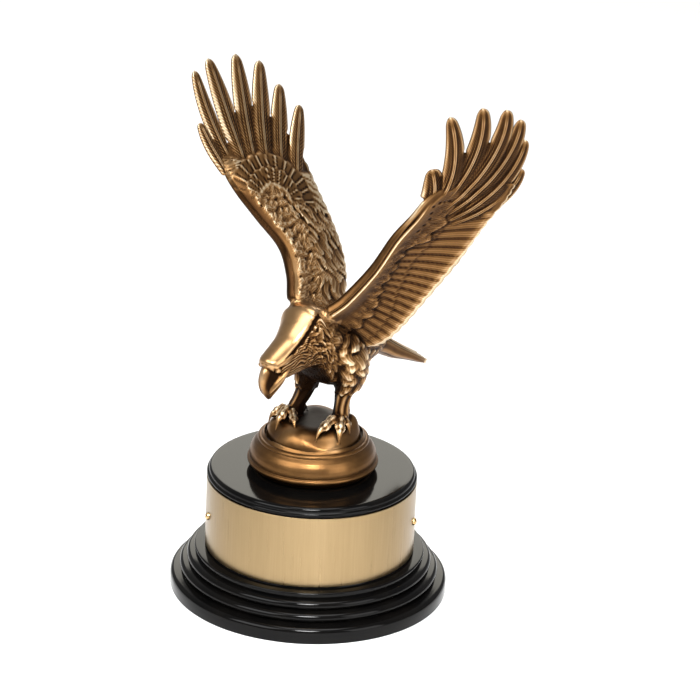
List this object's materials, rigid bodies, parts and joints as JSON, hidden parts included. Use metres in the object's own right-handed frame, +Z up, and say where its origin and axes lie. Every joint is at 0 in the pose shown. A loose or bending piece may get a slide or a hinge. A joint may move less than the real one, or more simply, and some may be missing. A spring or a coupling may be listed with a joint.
{
  "type": "bronze eagle sculpture on a plinth",
  "caption": "Antique-bronze eagle with raised, spread wings, perched on a rock over a moulded ring, on a round gloss-black turned plinth with a plain brass name band.",
  "frame": {"origin": "centre of the plinth's flat underside", "axes": "+Z up, -Y towards the front of the plinth, +X to the viewer's right; the eagle's head points to -X and -Y"},
  "size_m": [0.181, 0.15, 0.2808],
  "materials": {
    "bronze": "antique bronze: polished on the high places, dark brown in the hollows",
    "lacquer": "high-gloss black lacquer",
    "band": "satin, with fine lines across",
    "pin": "polished"
  },
  "bodies": {
    "root": {"eagle_casting": "bronze", "plinth": "lacquer", "name_band": "band", "band_pin_1": "pin", "band_pin_2": "pin", "band_pin_3": "pin", "band_pin_4": "pin"}
  },
  "joints": []
}
